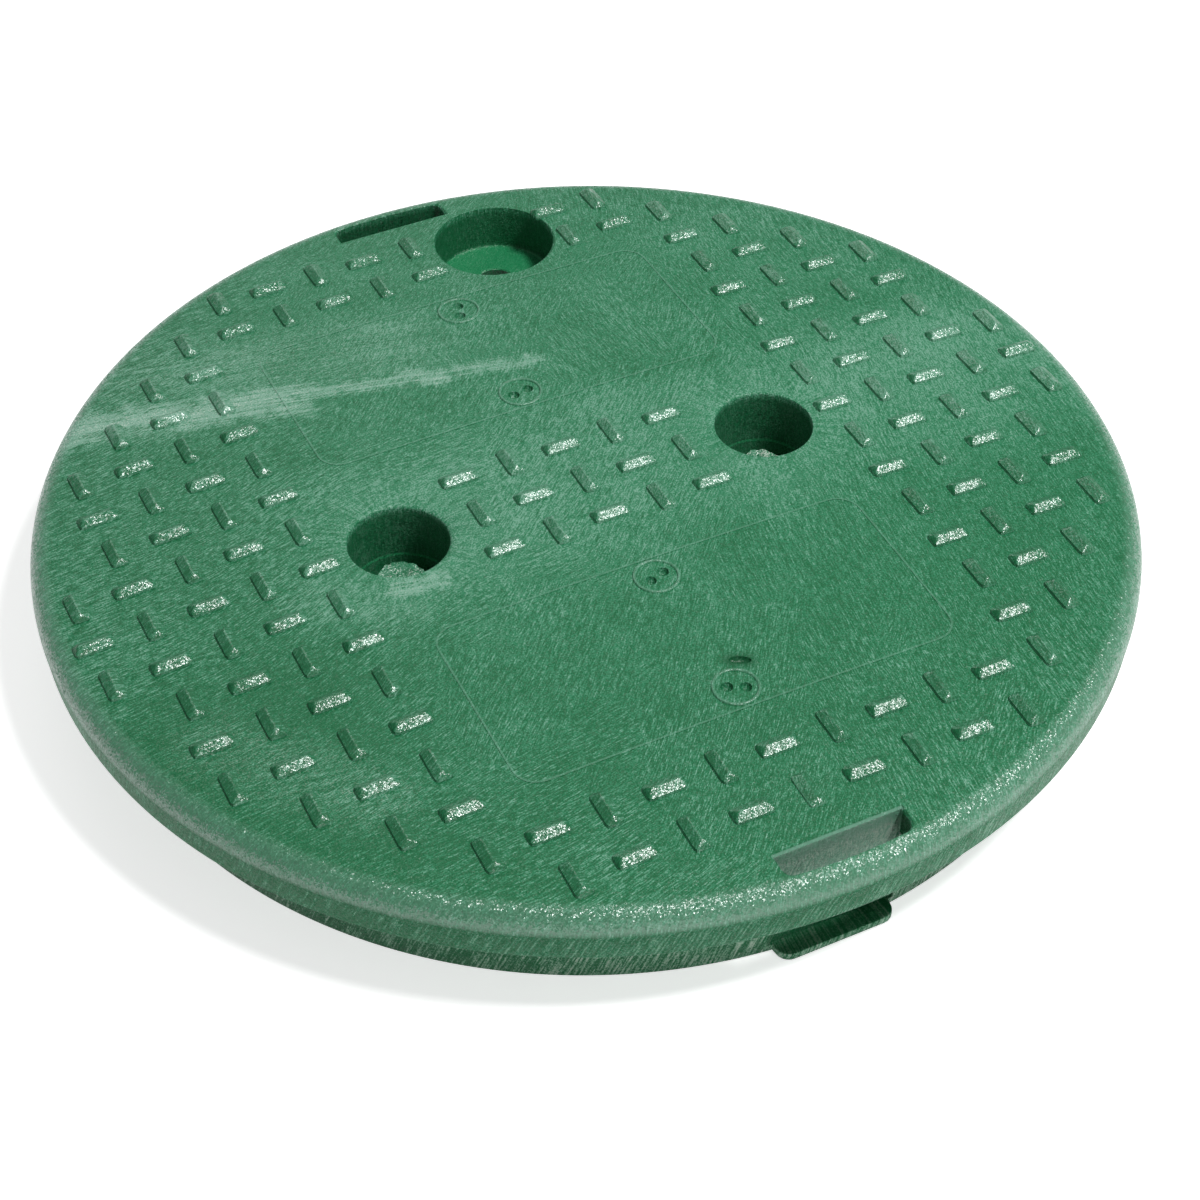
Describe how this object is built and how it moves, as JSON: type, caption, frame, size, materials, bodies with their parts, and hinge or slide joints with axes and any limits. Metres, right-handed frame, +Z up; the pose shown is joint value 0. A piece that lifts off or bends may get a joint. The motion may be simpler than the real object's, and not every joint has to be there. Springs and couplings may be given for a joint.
{
  "type": "valve box cover",
  "caption": "Round drop-in cover of a ground valve box: crowned treaded plate on a short skirt, with pry slots, latch tabs, gate wells and a counterbored bolt hole.",
  "frame": {"origin": "under the middle of the cover, level with the skirt's lower edge", "axes": "+Z up through the crown; X along the two pry slots; +Y towards the slot beside the bolt recess"},
  "size_m": [0.2476, 0.2476, 0.0334],
  "materials": {
    "green_plastic": "moulded structural foam, streaked and slightly scuffed"
  },
  "bodies": {
    "root": {"valve_box_cover": "green_plastic"}
  },
  "joints": []
}
